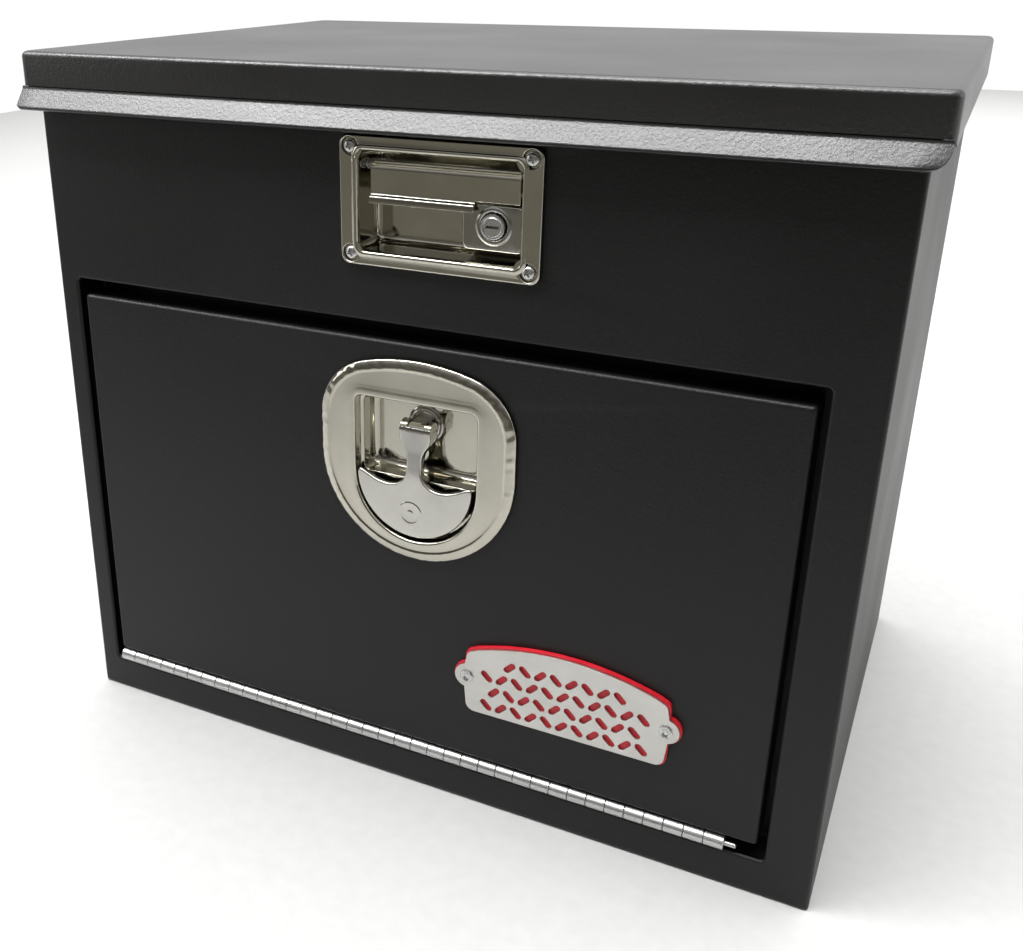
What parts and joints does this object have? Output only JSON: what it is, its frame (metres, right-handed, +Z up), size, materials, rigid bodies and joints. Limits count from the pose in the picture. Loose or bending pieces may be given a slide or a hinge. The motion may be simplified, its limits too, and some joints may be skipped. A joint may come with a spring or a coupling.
{
  "type": "truck tool box",
  "caption": "Sheet metal tool cabinet with a hinged top lid, a drop-down front door, a paddle latch and a recessed folding T-handle",
  "frame": {"origin": "Centre of the footprint on the floor, under the middle of the overall box", "axes": "+X to the right seen from the front, +Y towards the back, +Z up; the drop door faces -Y"},
  "size_m": [0.564, 0.4087, 0.487],
  "materials": {
    "black_powder_coat": "satin, fine orange-peel texture, rubbed lighter on bends",
    "polished_stainless": "mirror polished stainless steel with fine wear",
    "satin_stainless": "satin stainless steel",
    "black_rubber": "matt rubber",
    "zinc_plate": "bright zinc plated steel",
    "red_coat": "satin red powder coat",
    "strut_black": "gloss black enamel"
  },
  "bodies": {
    "cabinet": {"back_panel": "black_powder_coat", "door_frame_bottom": "black_powder_coat", "door_frame_left": "black_powder_coat", "door_frame_right": "black_powder_coat", "door_frame_top": "black_powder_coat", "door_hinge_fixed_leaf": "satin_stainless", "door_hinge_pin": "satin_stainless", "door_seal": "black_rubber", "floor_panel": "black_powder_coat", "front_header_panel": "black_powder_coat", "front_left_jamb": "black_powder_coat", "front_right_jamb": "black_powder_coat", "front_sill_panel": "black_powder_coat", "hook_bracket": "zinc_plate", "hook_pin": "zinc_plate", "latch_screw_lower_left": "zinc_plate", "latch_screw_lower_right": "zinc_plate", "latch_screw_upper_left": "zinc_plate", "latch_screw_upper_right": "zinc_plate", "left_side_panel": "black_powder_coat", "lid_hinge_fixed_leaf": "satin_stainless", "lid_hinge_pin": "satin_stainless", "lid_seal": "black_rubber", "paddle_latch_dish": "polished_stainless", "paddle_latch_gasket": "black_rubber", "paddle_pin": "satin_stainless", "paddle_spring": "zinc_plate", "right_side_panel": "black_powder_coat", "strut_body_bracket": "zinc_plate"},
    "lid": {"lid_panel": "black_powder_coat", "lid_stiffener": "black_powder_coat", "lid_striker": "zinc_plate", "lid_hinge_moving_leaf": "satin_stainless", "strut_lid_bracket": "zinc_plate"},
    "door": {"door_panel": "black_powder_coat", "door_hinge_moving_leaf": "satin_stainless", "t_handle_dish": "polished_stainless", "t_handle_gasket": "black_rubber", "badge_backing": "red_coat", "badge_face": "satin_stainless", "badge_left_rivet": "satin_stainless", "badge_right_rivet": "satin_stainless"},
    "t_handle_shaft": {"t_handle_spindle": "polished_stainless", "t_handle_cam": "zinc_plate", "t_handle_nut": "zinc_plate", "t_handle_pivot_pin": "polished_stainless"},
    "t_handle": {"t_handle_grip": "polished_stainless"},
    "paddle": {"paddle": "polished_stainless"},
    "hook": {"latch_hook": "zinc_plate"},
    "lock": {"paddle_lock_cylinder": "satin_stainless"},
    "strut_tube": {"strut_cylinder": "strut_black"},
    "strut_piston": {"strut_rod": "zinc_plate"}
  },
  "joints": [
    {"name": "lid_hinge", "type": "hinge", "parent": "cabinet", "child": "lid", "pos_m": [0, 0.19965, 0.45545], "axis": [-1, 0, 0], "range_deg": [0, 85]},
    {"name": "door_hinge", "type": "hinge", "parent": "cabinet", "child": "door", "pos_m": [0, -0.1884, 0.0316], "axis": [1, 0, 0], "range_deg": [0, 90]},
    {"name": "t_handle_fold", "type": "hinge", "parent": "t_handle_shaft", "child": "t_handle", "pos_m": [0.005, -0.1839, 0.268], "axis": [-1, 0, 0], "range_deg": [0, 90]},
    {"name": "t_handle_turn", "type": "hinge", "parent": "door", "child": "t_handle_shaft", "pos_m": [0.005, -0.1839, 0.268], "axis": [0, 1, 0], "range_deg": [0, 90]},
    {"name": "paddle_pull", "type": "hinge", "parent": "cabinet", "child": "paddle", "pos_m": [0.02, -0.1814, 0.43], "axis": [-1, 0, 0], "range_deg": [0, 35], "stiffness_Nm_per_rad": 0.12, "springref_deg": -22.92},
    {"name": "hook_swing", "type": "hinge", "parent": "cabinet", "child": "hook", "pos_m": [0.02, -0.1604, 0.425], "axis": [-1, 0, 0], "range_deg": [0, 14]},
    {"name": "paddle_lock_turn", "type": "hinge", "parent": "cabinet", "child": "lock", "pos_m": [0.052, -0.1894, 0.401], "axis": [0, 1, 0], "range_deg": [0, 90]},
    {"name": "strut_swing", "type": "hinge", "parent": "cabinet", "child": "strut_tube", "pos_m": [-0.251, 0.0056, 0.33], "axis": [1, 0, 0], "range_deg": [-2.18, 0]},
    {"name": "strut_extend", "type": "slide", "parent": "strut_tube", "child": "strut_piston", "axis": [0, 0.7173, 0.6968], "range_m": [0, 0.07412]}
  ],
  "couplings": [
    {"joint": "t_handle_turn", "follows": "t_handle_fold", "ratio": 1},
    {"joint": "hook_swing", "follows": "paddle_pull", "ratio": 0.4},
    {"joint": "strut_swing", "follows": "lid_hinge", "ratio": -0.025025},
    {"joint": "strut_extend", "follows": "lid_hinge", "m_per_rad": 0.049828}
  ]
}
